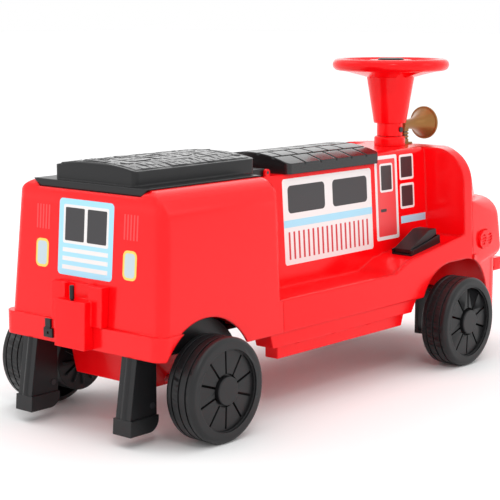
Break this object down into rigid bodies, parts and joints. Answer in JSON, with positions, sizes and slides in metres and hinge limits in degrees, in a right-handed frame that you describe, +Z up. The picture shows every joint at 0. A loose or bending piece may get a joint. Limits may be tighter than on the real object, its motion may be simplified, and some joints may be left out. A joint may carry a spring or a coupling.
{
  "type": "ride-on train",
  "caption": "Child's electric ride-on train: red moulded body, lift-up black seat over a bin, steered front wheels, foot pedal, roof horn, and a trailer coupler at the rear.",
  "frame": {"origin": "middle of the overall length and width, at ground level under the wheels", "axes": "+X forward, +Y to the rider's left, +Z up"},
  "size_m": [0.91, 0.385, 0.498],
  "materials": {
    "red_shell": "smooth glossy red blow-moulded and injection-moulded plastic",
    "black_plastic": "satin charcoal-black moulded plastic",
    "bright_steel": "zinc-plated steel",
    "bronze_plastic": "bronze-coloured moulded plastic",
    "lamp_lens": "pale cream gloss plastic lens",
    "dark_pane": "dark gloss plastic pane",
    "wheel_plastic": "satin black hard plastic wheel"
  },
  "bodies": {
    "chassis": {"rear_body": "red_shell", "mid_body": "red_shell", "nose_cap": "red_shell", "front_bumper": "red_shell", "side_lamp_left": "red_shell", "side_lamp_right": "red_shell", "rear_coupler": "red_shell", "axle_housing": "red_shell", "side_rail_left": "red_shell", "side_rail_right": "red_shell", "roof_collar": "red_shell", "draw_pin": "black_plastic", "charge_socket": "black_plastic", "chassis_plate": "black_plastic", "storage_bin": "black_plastic", "gearbox": "black_plastic", "rear_leg_left": "black_plastic", "rear_leg_right": "black_plastic", "mid_cover": "black_plastic", "front_cradle": "black_plastic", "pedal_base": "black_plastic", "pedal_switch": "black_plastic", "battery": "black_plastic", "motor": "bright_steel", "rear_axle": "bright_steel", "leg_screws": "bright_steel", "rail_screws": "bright_steel", "seat_hinge_pin": "bright_steel", "kingpin_left": "bright_steel", "kingpin_right": "bright_steel", "pedal_pin": "bright_steel", "horn_bell": "bronze_plastic", "horn_bracket": "bronze_plastic", "headlamp_left": "lamp_lens", "headlamp_right": "lamp_lens", "windscreen": "dark_pane"},
    "seat": {"seat_lid": "black_plastic"},
    "steering": {"steering_shaft": "bright_steel", "steering_wheel": "red_shell", "steering_bolt": "bright_steel"},
    "horn_push": {"horn_button": "black_plastic"},
    "knuckle_l": {"knuckle_left": "black_plastic", "stub_axle_left": "bright_steel"},
    "knuckle_r": {"knuckle_right": "black_plastic", "stub_axle_right": "bright_steel"},
    "link": {"tie_rod": "bright_steel"},
    "wheel_rear_l": {"rear_wheel_left": "wheel_plastic", "rear_cap_left": "wheel_plastic"},
    "wheel_rear_r": {"rear_wheel_right": "wheel_plastic", "rear_cap_right": "wheel_plastic"},
    "wheel_front_l": {"front_wheel_left": "wheel_plastic", "front_cap_left": "wheel_plastic"},
    "wheel_front_r": {"front_wheel_right": "wheel_plastic", "front_cap_right": "wheel_plastic"},
    "foot_pedal": {"pedal": "black_plastic"},
    "socket_flap": {"socket_cover": "black_plastic"}
  },
  "joints": [
    {"name": "steering_turn", "type": "hinge", "parent": "chassis", "child": "steering", "pos_m": [0.2875, 0, 0.3], "axis": [0, 0, 1], "range_deg": [-20, 20]},
    {"name": "knuckle_left_turn", "type": "hinge", "parent": "chassis", "child": "knuckle_l", "pos_m": [0.252, 0.124, 0.073], "axis": [0, 0, 1], "range_deg": [-20, 20]},
    {"name": "knuckle_right_turn", "type": "hinge", "parent": "chassis", "child": "knuckle_r", "pos_m": [0.252, -0.124, 0.073], "axis": [0, 0, 1], "range_deg": [-20, 20]},
    {"name": "tie_rod_turn", "type": "hinge", "parent": "knuckle_l", "child": "link", "pos_m": [0.292, 0.124, 0.1053], "axis": [0, 0, 1], "range_deg": [-20, 20]},
    {"name": "rear_left_spin", "type": "hinge", "parent": "chassis", "child": "wheel_rear_l", "pos_m": [-0.3435, 0.1675, 0.073], "axis": [0, 1, 0], "continuous": true},
    {"name": "rear_right_spin", "type": "hinge", "parent": "chassis", "child": "wheel_rear_r", "pos_m": [-0.3435, -0.1675, 0.073], "axis": [0, 1, 0], "continuous": true},
    {"name": "front_left_spin", "type": "hinge", "parent": "knuckle_l", "child": "wheel_front_l", "pos_m": [0.252, 0.1675, 0.073], "axis": [0, 1, 0], "continuous": true},
    {"name": "front_right_spin", "type": "hinge", "parent": "knuckle_r", "child": "wheel_front_r", "pos_m": [0.252, -0.1675, 0.073], "axis": [0, 1, 0], "continuous": true},
    {"name": "seat_lift", "type": "hinge", "parent": "chassis", "child": "seat", "pos_m": [-0.1118, 0, 0.3396], "axis": [0, 1, 0], "range_deg": [0, 80]},
    {"name": "pedal_press", "type": "hinge", "parent": "chassis", "child": "foot_pedal", "pos_m": [0.17608, -0.111, 0.19195], "axis": [0, 1, 0], "range_deg": [0, 8], "stiffness_Nm_per_rad": 1.5, "springref_deg": -8.59},
    {"name": "horn_push_in", "type": "slide", "parent": "steering", "child": "horn_push", "axis": [0, 0, 1], "range_m": [-0.003, 0], "stiffness_N_per_m": 800, "springref_m": 0.002},
    {"name": "socket_flap_fold", "type": "hinge", "parent": "chassis", "child": "socket_flap", "pos_m": [-0.441, 0.059, 0.1413], "axis": [0, -1, 0], "range_deg": [0, 176]}
  ],
  "couplings": [
    {"joint": "knuckle_left_turn", "follows": "steering_turn", "ratio": 1},
    {"joint": "knuckle_right_turn", "follows": "steering_turn", "ratio": 1},
    {"joint": "tie_rod_turn", "follows": "steering_turn", "ratio": -1}
  ]
}
